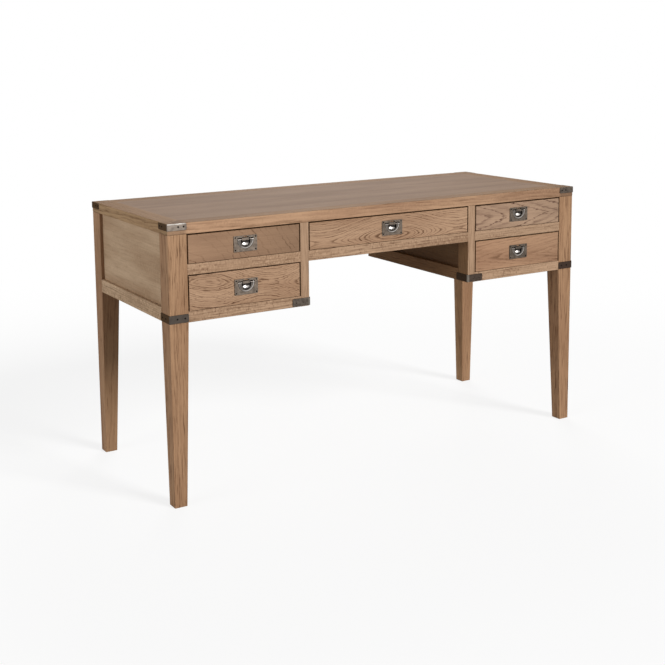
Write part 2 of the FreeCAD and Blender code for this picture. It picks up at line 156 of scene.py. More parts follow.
# Oak tones: (light wood, mid wood, dark grain)
TONES = {
    "post": (srgb(175, 138, 106), srgb(154, 118, 89), srgb(80, 50, 31)),
    # a darker copy of the post tone for the back left leg's front and back faces: painted shade
    "shaded_back_post": (srgb(156, 123, 93), srgb(138, 105, 78), srgb(73, 46, 28)),
    # a paler copy of the post tone for the faces of the back right leg that look along the width:
    # painted light
    "lit_side_post": (srgb(190, 151, 115), srgb(167, 129, 96), srgb(88, 56, 34)),
    "rail": (srgb(184, 152, 124), srgb(158, 127, 101), srgb(92, 62, 41)),
    "side_rail": (srgb(206, 176, 144), srgb(181, 151, 121), srgb(108, 80, 58)),
    "panel": (srgb(200, 172, 142), srgb(168, 138, 109), srgb(120, 92, 68)),
    # a darker tone for the stiles' faces that look along the width, the inner side rails and the top
    # and bottom faces of two drawer fronts: painted shade
    "inner_shade": (srgb(144, 111, 80), srgb(127, 95, 67), srgb(88, 62, 42)),
    # a darker tone for the pedestals' inner side panels in the kneehole: painted shade
    "kneehole_shade": (srgb(120, 93, 67), srgb(106, 79, 56), srgb(73, 52, 35)),
    "top": (srgb(150, 125, 105), srgb(138, 114, 95), srgb(104, 81, 63)),
    "top_border": (srgb(147, 115, 84), srgb(133, 102, 73), srgb(96, 70, 46)),
    "top_edge": (srgb(189, 152, 121), srgb(165, 129, 102), srgb(94, 65, 44)),
    # a darker, less orange copy of the top edge tone for the end rails' side faces: painted shade with
    # a change of hue
    "shaded_top_side": (srgb(178, 146, 111), srgb(156, 124, 92), srgb(92, 65, 42)),
    "front": (srgb(186, 152, 123), srgb(164, 130, 103), srgb(84, 55, 36)),
    "umber_front": (srgb(158, 126, 100), srgb(139, 109, 86), srgb(82, 54, 36)),
    "grey_front": (srgb(178, 148, 123), srgb(157, 129, 107), srgb(86, 59, 48)),
    "russet_front": (srgb(176, 139, 110), srgb(156, 120, 94), srgb(84, 54, 34)),
    # a dark tone for the drawer fronts' ends and for the top and bottom faces of two of them: partly
    # end grain, partly painted shade in the gaps round the fronts
    "gap_shade_end_grain": (srgb(108, 79, 54), srgb(95, 68, 46), srgb(64, 42, 27)),
    "box": (srgb(206, 176, 138), srgb(188, 156, 118), srgb(142, 108, 76)),
}

# Oak noise, in a board's own coordinates
OAK_NOISE = {
    "drift": Speckle((2.2, 8.0, 8.0)),
    "wobble": Speckle((14.0, 70.0, 70.0), detail=3.0),
    "tear": Speckle((38.0, 260.0, 260.0)),
    "fibres": Speckle((7.0, 300.0, 300.0), detail=3.0, roughness=0.6),
    "ticks": Speckle((210.0, 120.0, 120.0)),
    "breaks": Speckle((26.0, 150.0, 150.0), detail=3.0, roughness=0.6, low=0.30, high=0.62, first=0.25),
    "bare": Speckle((7.0, 22.0, 22.0), low=0.44, high=0.60, first=-1.0, last=0.0),
    "pores": Speckle((48.0, 1100.0, 1100.0), low=0.56, high=0.70),
    "dashes": Speckle((15.0, 320.0, 320.0), low=0.54, high=0.70),
    "patches": Speckle((2.6, 16.0, 16.0), detail=3.0, low=0.30, high=0.70),
    "clusters": Speckle((11.0, 26.0, 26.0), low=0.36, high=0.60, first=0.35),
    "wear": Speckle((30.0, 60.0, 60.0), detail=3.0, low=0.35, high=0.70),
}
NOISE_MIDDLE = 0.5

# The numbers of a Grain that the oak group takes
OAK_NUMBERS = ("pith_across", "pith_depth", "taper", "swell", "eye", "reach", "ring", "wander",
               "ragged", "line", "contrast", "patchy", "fleck", "dash")

# Seeds: how far one unit moves a board's noise and its rings, what a board adds on the next side of
# the desk, the distance from side to side, and the seeds of the drawer boxes
SEED_STEP = (3.17, 1.31, 2.07)
SEED_RINGS = 0.37
SIDE_SEED = 5.3
PEDESTAL_SPLIT = 0.6
BOX_SEED = 50.0
BOX_DRAWER_STEP = 6.1
BOX_PIECE_STEP = 1.9

# Rings: how quickly and how much their widths vary, and where in a ring its line is darkest
YEAR_SCALE = 0.45
YEAR_CHANGE = 1.4
LINE_PEAK = 0.10

# Strengths of lines, fibres and pores: the least, and what is added to it at most
LINE_POWER = (0.25, 0.75)
FIBRE_SHADE = (0.82, 0.36)
PORE_POWER = (0.3, 0.7)
PORE_DARKNESS = 0.45

# Rays: the noise that turns pale, and the noise and the strengths of their shadows
RAY_LIGHT = (0.53, 0.68)
RAY_SHADOW = (0.30, 0.45, 0.4, 0.0)

# Relief of the grain and what it adds to the roughness, then the width and strength of worn edges
GRAIN_DEPTH = 0.6
FIBRE_HEIGHT = 0.35
OAK_BUMP = {"Strength": 0.5, "Distance": 0.0006}
GRAIN_DULLNESS = 0.16
OAK_EDGE = 0.0025
OAK_WEAR = 0.22

# Darker wood next to the straps: how far from a board's end it stops and starts
DARKER_END = (0.060, 0.045)

# Metals, with the tones of their rubbed places, then the tones of patches: some the metal's own, others
# painted shade and painted highlights
IRON = Metal(srgb(76, 68, 62), srgb(97, 88, 80), srgb(140, 131, 121), (0.36, 0.50), 0.0008)
BLACK_STEEL = Metal(srgb(18, 15, 13), srgb(30, 26, 23), srgb(52, 47, 43), (0.40, 0.55), 0.0005)
PEWTER = Metal(srgb(98, 88, 79), srgb(122, 110, 99), srgb(150, 139, 128), (0.34, 0.48), 0.0008)
BAIL_METAL = Metal(srgb(84, 78, 73), srgb(112, 105, 99), srgb(150, 144, 138), (0.26, 0.38), 0.0006)
PATCH_TONES = {
    "left_legs": srgb(76, 69, 63),
    "shaded_sides": srgb(77, 66, 58),
    "shaded_right_end": srgb(62, 50, 43),
    "deep_shaded_right_sides": srgb(44, 36, 29),
    "corner_highlight": srgb(122, 116, 108),
    "arm_highlight": srgb(144, 132, 121),
    "arm_edge_highlight": srgb(232, 228, 223),
    "kneehole_screws": srgb(66, 57, 51),
    # painted shade in the pull recesses, then the painted highlight in their bowls
    "recess": srgb(58, 53, 50),
    "bowl_highlight_tone": srgb(232, 227, 222),
    "bail_rim_highlight": srgb(176, 170, 164),
}
METAL_NOISE = {
    "mottle": Speckle((120.0, 120.0, 120.0), detail=3.0, roughness=0.55, low=0.28, high=0.72),
    "specks": Speckle((900.0, 900.0, 900.0), low=0.58, high=0.75),
    "scratches": Speckle((90.0, 2200.0, 1500.0), low=0.60, high=0.75),
    "cloud": Speckle((60.0, 60.0, 120.0), detail=3.0, low=0.2, high=0.7, first=0.45),
}

# Patina: what specks and scratches do to tone, roughness and relief, the strength of rubbed edges as
# a least value and what is added at most, and the tint of metal seen edge on
SPECK_DARKNESS = 0.2
SPECK_DULLNESS = 0.10
SPECK_DEPTH = -0.6
SCRATCH_DEPTH = -0.5
METAL_BUMP = {"Strength": 0.35, "Distance": 0.0003}
RUB_POWER = (0.3, 0.4)
GRAZING_TINT = (0.45, 0.38, 0.32, 1.0)

# Edges and faces: how far a normal bends at an edge, and how square to an axis a face has to be
EDGE_BEND = (0.02, 0.25)
EDGE_SAMPLES = 4
SQUARE_FACE = (0.5, 0.9)

# Places on the straps: start and end along one axis of the desk, then the strengths there
# painted shade on the straps grows from here towards the right end
RIGHT_HAND = (-0.25, 0.62, 0.0, 0.95)
LEFT_LEGS = (-0.62, -0.58, 0.85, 0.0)
KNEEHOLE_SIDE = (0.40, 0.44, 0.85, 0.0)
CORNER_FRONT = (-0.275, -0.270, 1.0, 0.0)
# where the painted highlights on that strap arm and its top edge lie
ARM_FRONT = (-0.2768, -0.2764, 1.0, 0.0)
ARM_LEFT = (-0.66, -0.64, 1.0, 0.0)
ARM_EDGE = (0.7618, 0.7645, 0.0, 1.0)

# Strength of the painted shade on faces that look along the width, then distances from a kneehole
# corner, and strengths of the painted highlight there
SIDE_SHADE = 0.9
CORNER_REACH = (0.003, 0.009)
CORNER_POWER = (0.75, 0.0)

# Pull plates: the depths between which painted shade darkens the recess, then the painted highlight in
# the bowl: its offset from the plate's middle, its size, and how it fades in units of that size
RECESS_DEPTH = (0.0006, 0.0030)
SHINE_AT = (0.0040, -0.0034)
SHINE_SIZE = (0.0120, 0.0037)
SHINE_FADE = (0.45, 1.2, 1.0, 0.0)

# Bails: the radius of the eyes, the band of the painted highlight on the rim, measured in from the
# outside, the direction in which that highlight is brightest, and how it brightens that way
BAIL_EYE = 0.002
RIM_BAND = (0.0028, 0.0018)
RIM_TOWARDS = (0.6, 0.0, -0.8)
RIM_POWER = (0.1, 0.9, 0.15, 1.0)

# Leaves of an offset only what lies in the plane of the drawer fronts
FRONT_PLANE = (1.0, 0.0, 1.0)

# The colour sockets of a mix node
MIX_FIRST = 6
MIX_SECOND = 7
MIX_RESULT = 2


def make_node(tree, kind, inputs=None, **settings):
    """Adds a node, with its settings and its inputs linked or set."""
    node = tree.nodes.new(kind)
    for name, value in settings.items():
        setattr(node, name, value)
    for name, value in (inputs or {}).items():
        feed(tree, node.inputs[name], value)
    return node


def feed(tree, socket, value):
    """Links an input to another node's output, or sets its value."""
    if isinstance(value, bpy.types.NodeSocket):
        tree.links.new(value, socket)
    else:
        socket.default_value = value


def calc(tree, operation, *values, clamp=False):
    """The result of one sum, with sockets or numbers as its terms."""
    node = make_node(tree, "ShaderNodeMath", operation=operation, use_clamp=clamp)
    for socket, value in zip(node.inputs, values):
        feed(tree, socket, value)
    return node.outputs[0]


def product(tree, first, *others):
    """Several terms multiplied."""
    for other in others:
        first = calc(tree, "MULTIPLY", first, other)
    return first


def rescale(tree, value, factor, offset):
    """A value times a factor, plus an offset."""
    return calc(tree, "MULTIPLY_ADD", value, factor, offset)


def vector_calc(tree, operation, *values):
    """The result of one vector sum."""
    node = make_node(tree, "ShaderNodeVectorMath", operation=operation)
    for socket, value in zip(node.inputs, values):
        feed(tree, socket, value)
    return node.outputs["Vector"]


def length_of(tree, vector):
    """The length of a vector."""
    return make_node(tree, "ShaderNodeVectorMath", {0: vector}, operation="LENGTH").outputs["Value"]


def dot(tree, first, second):
    """The dot product of two vectors."""
    node = make_node(tree, "ShaderNodeVectorMath", {0: first, 1: second}, operation="DOT_PRODUCT")
    return node.outputs["Value"]


def axes(tree, vector):
    """The three parts of a vector, by the names X, Y and Z."""
    return make_node(tree, "ShaderNodeSeparateXYZ", {"Vector": vector}).outputs


def noise_node(tree, place, speckle):
    """Soft noise between 0 and 1, as a node."""
    scaled = vector_calc(tree, "MULTIPLY", place, speckle.stretch)
    inputs = {"Vector": scaled, "Scale": 1.0,
              "Detail": speckle.detail, "Roughness": speckle.roughness}
    return make_node(tree, "ShaderNodeTexNoise", inputs)


def noise(tree, place, speckle):
    """Soft noise between 0 and 1."""
    return noise_node(tree, place, speckle).outputs[0]


def noise_mask(tree, place, speckle):
    """Noise with its range cut and spread as its speckle says."""
    value = noise(tree, place, speckle)
    return spread(tree, value, speckle.low, speckle.high, speckle.first, speckle.last)


def spread(tree, value, low, high, first=0.0, last=1.0):
    """A value mapped from one range to another, smoothly and without going past its ends."""
    inputs = {"Value": value, "From Min": low, "From Max": high, "To Min": first, "To Max": last}
    return make_node(tree, "ShaderNodeMapRange", inputs, interpolation_type="SMOOTHSTEP").outputs[0]


def blend(tree, factor, first, second, mode="MIX"):
    """Two colours mixed by a factor."""
    node = make_node(tree, "ShaderNodeMix", data_type="RGBA", blend_type=mode)
    feed(tree, node.inputs["Factor"], factor)
    feed(tree, node.inputs[MIX_FIRST], first)
    feed(tree, node.inputs[MIX_SECOND], second)
    return node.outputs[MIX_RESULT]


def make_group(name, inputs, outputs):
    """A node group with the given sockets; returns its tree, its inputs and its output node."""
    tree = bpy.data.node_groups.new(name, "ShaderNodeTree")
    for direction, sockets in (("INPUT", inputs), ("OUTPUT", outputs)):
        for label, kind in sockets.items():
            tree.interface.new_socket(name=label, in_out=direction, socket_type=f"NodeSocket{kind}")
    return tree, tree.nodes.new("NodeGroupInput").outputs, tree.nodes.new("NodeGroupOutput").inputs


def oak_group():
    """Solid oak: growth rings round a pith, broken by pores and fibres, in board coordinates."""
    inputs = {"Board": "Vector", "Seed": "Float", **dict.fromkeys(OAK_NUMBERS, "Float"),
              "Light": "Color", "Mid": "Color", "Dark": "Color"}
    outputs = {"Color": "Color", "Height": "Float", "Dull": "Float"}
    tree, given, made = make_group("oak", inputs, outputs)
    place = seeded_place(tree, given)
    line = ring_line(tree, given, place)
    fibres = noise(tree, place, OAK_NOISE["fibres"])
    pores = noise_mask(tree, place, OAK_NOISE["pores"])
    least, more = PORE_POWER
    pores = product(tree, pores, rescale(tree, line, more, least))
    wood = ray_flecks(tree, given, place, plain_wood(tree, given, place, fibres))
    dashes = noise_mask(tree, place, OAK_NOISE["dashes"])
    short_marks = rescale(tree, dashes, given["dash"], product(tree, pores, PORE_DARKNESS))
    darkness = calc(tree, "ADD", product(tree, line, given["contrast"]), short_marks, clamp=True)
    feed(tree, made["Color"], blend(tree, darkness, wood, given["Dark"]))
    relief = product(tree, calc(tree, "ADD", line, pores), GRAIN_DEPTH)
    feed(tree, made["Height"], rescale(tree, relief, -1.0, product(tree, fibres, FIBRE_HEIGHT)))
    feed(tree, made["Dull"], product(tree, relief, GRAIN_DULLNESS))
    return tree


def seeded_place(tree, given):
    """Board coordinates moved by the seed, so that boards don't share their noise."""
    step = make_node(tree, "ShaderNodeCombineXYZ")
    for axis, factor in zip("XYZ", SEED_STEP):
        feed(tree, step.inputs[axis], product(tree, given["Seed"], factor))
    return vector_calc(tree, "ADD", given["Board"], step.outputs[0])


def ring_radius(tree, given, place):
    """How far a point lies from the pith, with the bulges and the taper of the log."""
    drift = noise_node(tree, place, OAK_NOISE["drift"]).outputs["Color"]
    sway = vector_calc(tree, "SUBTRACT", drift, (NOISE_MIDDLE, NOISE_MIDDLE, NOISE_MIDDLE))
    inputs = {0: sway, "Scale": given["wander"]}
    swayed = make_node(tree, "ShaderNodeVectorMath", inputs, operation="SCALE")
    spot = axes(tree, vector_calc(tree, "ADD", given["Board"], swayed.outputs[0]))
    across = calc(tree, "SUBTRACT", spot["Y"], given["pith_across"])
    depth = calc(tree, "SUBTRACT", spot["Z"], given["pith_depth"])
    squares = calc(tree, "ADD", calc(tree, "POWER", across, 2.0), calc(tree, "POWER", depth, 2.0))
    turn = calc(tree, "DIVIDE", calc(tree, "SUBTRACT", spot["X"], given["eye"]), given["reach"])
    wave = calc(tree, "SUBTRACT", 1.0, calc(tree, "COSINE", product(tree, turn, math.tau)))
    swell = product(tree, wave, 0.5, given["swell"])
    lean = product(tree, spot["X"], given["taper"])
    return calc(tree, "ADD", calc(tree, "SQRT", squares), calc(tree, "ADD", swell, lean))


def ring_count(tree, given, place):
    """The rings between the pith and a point, with a wavering, torn fraction and uneven years."""
    wobble = calc(tree, "SUBTRACT", noise(tree, place, OAK_NOISE["wobble"]), NOISE_MIDDLE)
    radius = ring_radius(tree, given, place)
    rings = calc(tree, "ADD", calc(tree, "DIVIDE", radius, given["ring"]), wobble)
    tear = calc(tree, "SUBTRACT", noise(tree, place, OAK_NOISE["tear"]), NOISE_MIDDLE)
    rings = rescale(tree, tear, given["ragged"], rings)
    rings = calc(tree, "ADD", rings, product(tree, given["Seed"], SEED_RINGS))
    inputs = {"W": rings, "Scale": YEAR_SCALE}
    year = make_node(tree, "ShaderNodeTexNoise", inputs, noise_dimensions="1D")
    return rescale(tree, year.outputs[0], YEAR_CHANGE, rings)


def ring_line(tree, given, place):
    """The dark line that starts a ring: broken, stronger in some years, and bare in places."""
    rings = ring_count(tree, given, place)
    phase = calc(tree, "FRACT", rings)
    ring_seed = calc(tree, "ADD", calc(tree, "FLOOR", rings), given["Seed"])
    chance = make_node(tree, "ShaderNodeTexWhiteNoise", {"W": ring_seed}, noise_dimensions="1D")
    rise = spread(tree, phase, 0.0, LINE_PEAK)
    fall = spread(tree, phase, LINE_PEAK, given["line"], 1.0, 0.0)
    least, more = LINE_POWER
    power = rescale(tree, chance.outputs["Value"], more, least)
    line = product(tree, rise, fall, noise_mask(tree, place, OAK_NOISE["breaks"]), power)
    bare = noise_mask(tree, place, OAK_NOISE["bare"])
    return product(tree, line, rescale(tree, bare, given["patchy"], 1.0))


def plain_wood(tree, given, place, fibres):
    """The wood between the lines: clouds of light and mid wood, shaded by the fibres."""
    clouds = noise_mask(tree, place, OAK_NOISE["patches"])
    least, more = FIBRE_SHADE
    wood = blend(tree, clouds, given["Light"], given["Mid"])
    return blend(tree, 1.0, wood, rescale(tree, fibres, more, least), "MULTIPLY")


def ray_flecks(tree, given, place, wood):
    """Wood with clusters of short pale rays and their shadows."""
    ticks = noise(tree, place, OAK_NOISE["ticks"])
    rays = product(tree, noise_mask(tree, place, OAK_NOISE["clusters"]), given["fleck"])
    wood = blend(tree, product(tree, rays, spread(tree, ticks, *RAY_LIGHT)), wood, given["Light"])
    return blend(tree, product(tree, rays, spread(tree, ticks, *RAY_SHADOW)), wood, given["Dark"])


def edge_group():
    """How near a point is to a convex or concave edge: 0 on flat faces, up to 1 on the edge."""
    tree, given, made = make_group("edge", {"Radius": "Float"}, {"Edge": "Float"})
    bevel = make_node(tree, "ShaderNodeBevel", {"Radius": given["Radius"]}, samples=EDGE_SAMPLES)
    normal = make_node(tree, "ShaderNodeNewGeometry").outputs["Normal"]
    bend = calc(tree, "SUBTRACT", 1.0, dot(tree, bevel.outputs["Normal"], normal))
    feed(tree, made["Edge"], spread(tree, bend, *EDGE_BEND))
    return tree


def new_material(name):
    """An empty node material; returns it, its tree and its surface shader."""
    material = bpy.data.materials.new(name)
    material.use_nodes = True
    tree = material.node_tree
    return material, tree, tree.nodes["Principled BSDF"]


def edge_mask(tree, radius):
    """The edge group's mask for edges rubbed to a given width."""
    return make_node(tree, "ShaderNodeGroup", {"Radius": radius}, node_tree=EDGE).outputs[0]


def set_relief(tree, surface, height, bump):
    """Gives a surface a fine relief."""
    relief = make_node(tree, "ShaderNodeBump", {**bump, "Height": height})
    feed(tree, surface.inputs["Normal"], relief.outputs[0])


def facing(tree, axis):
    """1 on faces square to an axis, 0 on the others."""
    normal = make_node(tree, "ShaderNodeNewGeometry").outputs["True Normal"]
    return spread(tree, calc(tree, "ABSOLUTE", axes(tree, normal)[axis]), *SQUARE_FACE)


def nearest_to_middle(node):
    """How near a node comes to the middle of the desk's width."""
    return min(abs(vertex.co.x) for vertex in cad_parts[node].data.vertices)


def board_middle(node, paired):
    """The middle of a node's box, or of its right-hand copy where it holds two."""
    low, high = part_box(node)
    middle = (low + high) / 2
    if paired:
        middle.x = (nearest_to_middle(node) + high.x) / 2
    return middle


def board_place(tree, node, grain):
    """A node's board coordinates, and the side (-1, 0 or 1) of the desk that a point lies on."""
    middle = board_middle(node, grain.paired)
    spot = axes(tree, make_node(tree, "ShaderNodeTexCoord").outputs["Object"])
    parts = {axis.lower(): spot[axis] for axis in "XYZ"}
    side = calc(tree, "ROUND", calc(tree, "DIVIDE", parts["x"], PEDESTAL_SPLIT))
    if grain.paired:
        parts["x"] = calc(tree, "ABSOLUTE", parts["x"])
    into = next(axis for axis in "xyz" if axis not in (grain.along, grain.across))
    board = make_node(tree, "ShaderNodeCombineXYZ")
    for socket, axis in zip("XYZ", (grain.along, grain.across, into)):
        feed(tree, board.inputs[socket], calc(tree, "SUBTRACT", parts[axis], getattr(middle, axis)))
    inputs = {"Vector": board.outputs[0], "Angle": grain.tilt}
    tilted = make_node(tree, "ShaderNodeVectorRotate", inputs, rotation_type="Z_AXIS")
    return tilted.outputs[0], side


def face_tones(tree, grain):
    """The light, mid and dark tone of a board, with other tones on the faces turned to an axis, several
    of them painted shade or painted light.
    """
    tones = TONES[grain.tone]
    for tone, axis in grain.turned:
        turned = facing(tree, axis)
        tones = [blend(tree, turned, *pair) for pair in zip(tones, TONES[tone])]
    return tones


def shade_drift(tree, node, grain, board):
    """The brightness of a board from end to end: painted shade that darkens it along its length, and
    darker at the ends that straps cover.
    """
    length = axes(tree, board)["X"]
    upright = calc(tree, "SUBTRACT", 1.0, facing(tree, "Z"))
    drift = rescale(tree, product(tree, length, upright), -grain.shade_falloff, 1.0)
    low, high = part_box(node)
    half = (getattr(high, grain.along) - getattr(low, grain.along)) / 2
    ends = spread(tree, calc(tree, "ABSOLUTE", length), *(half - reach for reach in DARKER_END))
    return product(tree, drift, rescale(tree, ends, -grain.darker_ends, 1.0))


def oak_material(node, grain):
    """Brushed, waxed oak on one node, cut as its grain says, a little paler along worn edges."""
    material, tree, surface = new_material(f"oak_{node}")
    board, side = board_place(tree, node, grain)
    light, mid, dark = face_tones(tree, grain)
    seed = grain.seed if grain.one_board else rescale(tree, side, SIDE_SEED, grain.seed)
    inputs = {"Board": board, "Seed": seed, "Light": light, "Mid": mid, "Dark": dark}
    inputs.update((name, getattr(grain, name)) for name in OAK_NUMBERS)
    wood = make_node(tree, "ShaderNodeGroup", inputs, node_tree=OAK)
    worn = noise_mask(tree, board, OAK_NOISE["wear"])
    wear = product(tree, edge_mask(tree, OAK_EDGE), worn, OAK_WEAR)
    # painted shade: the board darkens along its length, and is darker at ends that straps cover
    drift = shade_drift(tree, node, grain, board)
    colour = blend(tree, 1.0, wood.outputs["Color"], drift, "MULTIPLY")
    feed(tree, surface.inputs["Base Color"], blend(tree, wear, colour, light))
    feed(tree, surface.inputs["Roughness"], calc(tree, "ADD", wood.outputs["Dull"], grain.roughness))
    surface.inputs["Specular IOR Level"].default_value = grain.gloss
    set_relief(tree, surface, wood.outputs["Height"], OAK_BUMP)
    return material


def metal_material(name, metal, patches=()):
    """Patinated metal: mottled between two tones, rubbed bright along its edges, faintly scratched.

    Each patch is a function that takes the tree and the object coordinates and returns a mask, with
    the colour painted there: a tone of the metal, or a painted shade or highlight.
    """
    material, tree, surface = new_material(name)
    place = make_node(tree, "ShaderNodeTexCoord").outputs["Object"]
    mottle = noise_mask(tree, place, METAL_NOISE["mottle"])
    specks = noise_mask(tree, place, METAL_NOISE["specks"])
    scratches = noise_mask(tree, place, METAL_NOISE["scratches"])
    tone = blend(tree, mottle, metal.dark, metal.light)
    tone = blend(tree, product(tree, specks, SPECK_DARKNESS), tone, metal.dark)
    least, more = RUB_POWER
    rubbed = product(tree, edge_mask(tree, metal.edge), rescale(tree, mottle, more, least))
    tone = blend(tree, rubbed, tone, metal.worn)
    for mask, colour in patches:
        tone = blend(tree, mask(tree, place), tone, colour)
    feed(tree, surface.inputs["Base Color"], tone)
    surface.inputs["Metallic"].default_value = 1.0
    surface.inputs["Specular Tint"].default_value = GRAZING_TINT
    smooth, rough = metal.roughness
    dullness = rescale(tree, mottle, rough - smooth, smooth)
    feed(tree, surface.inputs["Roughness"], rescale(tree, specks, SPECK_DULLNESS, dullness))
    scratched = product(tree, scratches, SCRATCH_DEPTH)
    set_relief(tree, surface, rescale(tree, specks, SPECK_DEPTH, scratched), METAL_BUMP)
    return material


def shaded_sides(tree, place):
    """Masks the faces that look along the width of the desk, for painted shade on them."""
    return product(tree, facing(tree, "X"), SIDE_SHADE)


def shaded_right_end(tree, place):
    """Masks what lies towards the right end of the desk, for painted shade that makes the straps darker
    and browner there.
    """
    return spread(tree, axes(tree, place)["X"], *RIGHT_HAND)


def deep_shaded_right_sides(tree, place):
    """Masks the faces towards the right end that look along the width, for a deeper painted shade
    there.
    """
    return product(tree, shaded_sides(tree, place), shaded_right_end(tree, place))


def left_legs(tree, place):
    """Masks what lies round the left legs."""
    return spread(tree, axes(tree, place)["X"], *LEFT_LEGS)


def kneehole_side(tree, place):
    """Masks what lies next to the kneehole."""
    return spread(tree, calc(tree, "ABSOLUTE", axes(tree, place)["X"]), *KNEEHOLE_SIDE)


def corner_highlight(tree, place):
    """Masks a painted highlight on the upright edges of the lower straps at the kneehole's front
    corners.
    """
    spot = axes(tree, place)
    corner = nearest_to_middle("lower_corner_brackets")
    reach = (corner + distance for distance in CORNER_REACH)
    inner = spread(tree, calc(tree, "ABSOLUTE", spot["X"]), *reach, *CORNER_POWER)
    return product(tree, inner, spread(tree, spot["Y"], *CORNER_FRONT))


def arm_highlight(tree, place):
    """Masks a painted highlight on the strap arm at the front of the top's left corner."""
    spot = axes(tree, place)
    front = spread(tree, spot["Y"], *ARM_FRONT)
    left = spread(tree, spot["X"], *ARM_LEFT)
    return product(tree, front, left, noise_mask(tree, place, METAL_NOISE["cloud"]))


def arm_edge_highlight(tree, place):
    """Masks a painted highlight along the top edge of that arm."""
    return product(tree, arm_highlight(tree, place), spread(tree, axes(tree, place)["Z"], *ARM_EDGE))


def pull_patches(drawer, bowl_highlight_tone):
    """Painted shade that darkens the recess of a pull plate, and a painted highlight in its bowl."""
    low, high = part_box(f"{drawer}_pull_plate")
    middle = (low + high) / 2
    shine_middle = (middle.x + SHINE_AT[0], 0.0, middle.z + SHINE_AT[1])
    shine_size = (SHINE_SIZE[0], 1.0, SHINE_SIZE[1])

    def recess(tree, place):
        return spread(tree, axes(tree, place)["Y"], *(low.y + depth for depth in RECESS_DEPTH))

    def bowl_highlight(tree, place):
        offset = vector_calc(tree, "SUBTRACT", place, shine_middle)
        shine = vector_calc(tree, "DIVIDE", offset, shine_size)
        length = length_of(tree, vector_calc(tree, "MULTIPLY", shine, FRONT_PLANE))
        return product(tree, spread(tree, length, *SHINE_FADE), recess(tree, place))

    return ((recess, PATCH_TONES["recess"]), (bowl_highlight, bowl_highlight_tone))


def rim_highlight(drawer):
    """A painted highlight on the outer rim of a bail, brightest at its lower right."""
    low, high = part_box(f"{drawer}_pull_bail")
    pivot = ((low.x + high.x) / 2, 0.0, high.z - BAIL_EYE)
    reach = (high.x - low.x) / 2

    def rim(tree, place):
        offset = vector_calc(tree, "SUBTRACT", place, pivot)
        arm = vector_calc(tree, "MULTIPLY", offset, FRONT_PLANE)
        turn = calc(tree, "DIVIDE", dot(tree, arm, RIM_TOWARDS), reach)
        band = spread(tree, length_of(tree, arm), *(reach - depth for depth in RIM_BAND))
        return product(tree, band, spread(tree, turn, *RIM_POWER))

    return ((rim, PATCH_TONES["bail_rim_highlight"]),)


def case_cuts():
    """The cuts of the legs, stiles, rails and panels."""
    post = Grain(along="z", across="x", tone="post", pith_across=0.11, taper=0.02, ring=0.0085,
                 wander=0.03, line=0.5, contrast=0.42, dash=0.6)
    # Stiles take a darker tone on their faces that look along the width: painted shade.
    stile = replace(post, tone="rail", turned=(("inner_shade", "X"),), dash=0.35, paired=True)
    rail = Grain(tone="rail", pith_across=0.10, pith_depth=0.06, contrast=0.5, fleck=1.3, dash=0.5)
    side_rail = Grain(along="y", tone="side_rail", pith_across=0.09, contrast=0.6, fleck=1.6,
                      dash=0.5, paired=True)
    panel = Grain(along="y", tone="panel", pith_across=0.16, pith_depth=0.07, taper=0.03,
                  ring=0.012, wander=0.05, contrast=0.08, fleck=0.35, dash=0.16)
    return {
        "leg_front_left": replace(post, seed=1.0),
        "leg_front_right": replace(post, pith_across=-0.10, contrast=0.72, dash=0.62, seed=2.6),
        # The back left leg's front and back faces take a darker tone: painted shade.
        "leg_back_left": replace(post, pith_across=0.08, contrast=0.25, dash=0.3,
                                 turned=(("shaded_back_post", "Y"),), seed=4.1),
        # The back right leg's faces that look along the width take a paler tone: painted light.
        "leg_back_right": replace(post, contrast=0.3, dash=0.35,
                                  turned=(("lit_side_post", "X"),), seed=5.7),
        "front_stiles": replace(stile, seed=7.2),
        "back_stiles": replace(stile, seed=8.9),
        "front_mid_rails": replace(rail, shade_falloff=0.14, seed=10.4),
        "front_bottom_rails": replace(rail, seed=11.9),
        "back_rails": replace(rail, seed=13.9),
        "side_rails": replace(side_rail, seed=15.2),
        # The inner side rails, facing the kneehole, take a darker tone: painted shade.
        "inner_side_rails": replace(side_rail, tone="inner_shade", contrast=0.5, fleck=0.2,
                                    dash=0.55, seed=16.8),
        "left_side_panel": replace(panel, seed=21.4),
        "right_side_panel": replace(panel, seed=22.9),
        # The inner side panels take a darker tone: painted shade in the kneehole.
        "inner_side_panels": replace(panel, tone="kneehole_shade", paired=True, seed=24.3),
        "back_panels": replace(panel, along="x", seed=25.8),
    }


def top_cuts():
    """The cuts of the top's field and of the rails round it."""
    border = ("top_border", "Z")
    field = Grain(across="y", tone="top", pith_across=0.3, pith_depth=-0.08, taper=0.02,
                  ring=0.011, wander=0.05, contrast=0.12, dash=0.08, one_board=True,
                  gloss=0.035, roughness=0.65)
    rail = Grain(across="y", tone="top_edge", pith_across=0.09, pith_depth=-0.05, ring=0.005,
                 contrast=0.5, fleck=0.5, dash=0.35, one_board=True, turned=(border,), gloss=0.035)
    # The end rails' side faces take a darker tone: painted shade.
    end_rail = replace(rail, along="y", across="x", turned=(border, ("shaded_top_side", "X")),
                       darker_ends=0.15)
    return {
        "top_panel": replace(field, seed=27.5),
        "top_front_rail": replace(rail, shade_falloff=0.18, darker_ends=0.34, seed=29.0),
        "top_back_rail": replace(rail, seed=30.6),
        "top_left_rail": replace(end_rail, seed=32.2),
        "top_right_rail": replace(end_rail, seed=33.8),
    }


